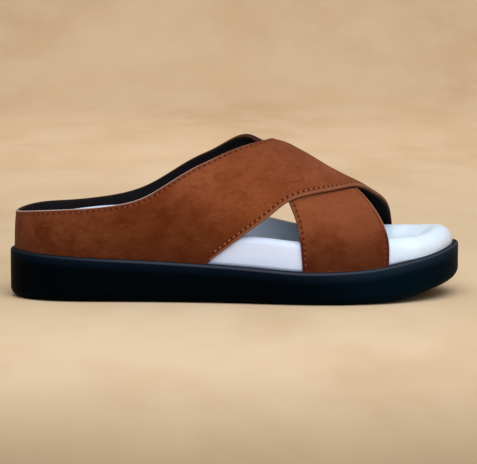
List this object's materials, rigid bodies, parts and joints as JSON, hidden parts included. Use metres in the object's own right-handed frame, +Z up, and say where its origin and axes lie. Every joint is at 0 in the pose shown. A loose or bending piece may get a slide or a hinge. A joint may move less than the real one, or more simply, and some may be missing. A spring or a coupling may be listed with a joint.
{
  "type": "slide sandal",
  "caption": "Open-toed slide sandal for a right foot: thick outsole, contoured footbed and a hollow upper of wide crossed straps that run round the heel.",
  "frame": {"origin": "on the floor, under the middle of the sandal's bounding box", "axes": "+X from heel to toe, +Y towards the big toe, +Z up"},
  "size_m": [0.284, 0.108, 0.1019],
  "materials": {
    "rubber": "smooth satin, blue-black",
    "footbed_cover": "smooth, cool white",
    "suede": "rust-brown nap with a smooth black lining"
  },
  "bodies": {
    "root": {"outsole": "rubber", "footbed": "footbed_cover", "upper": "suede"}
  },
  "joints": []
}
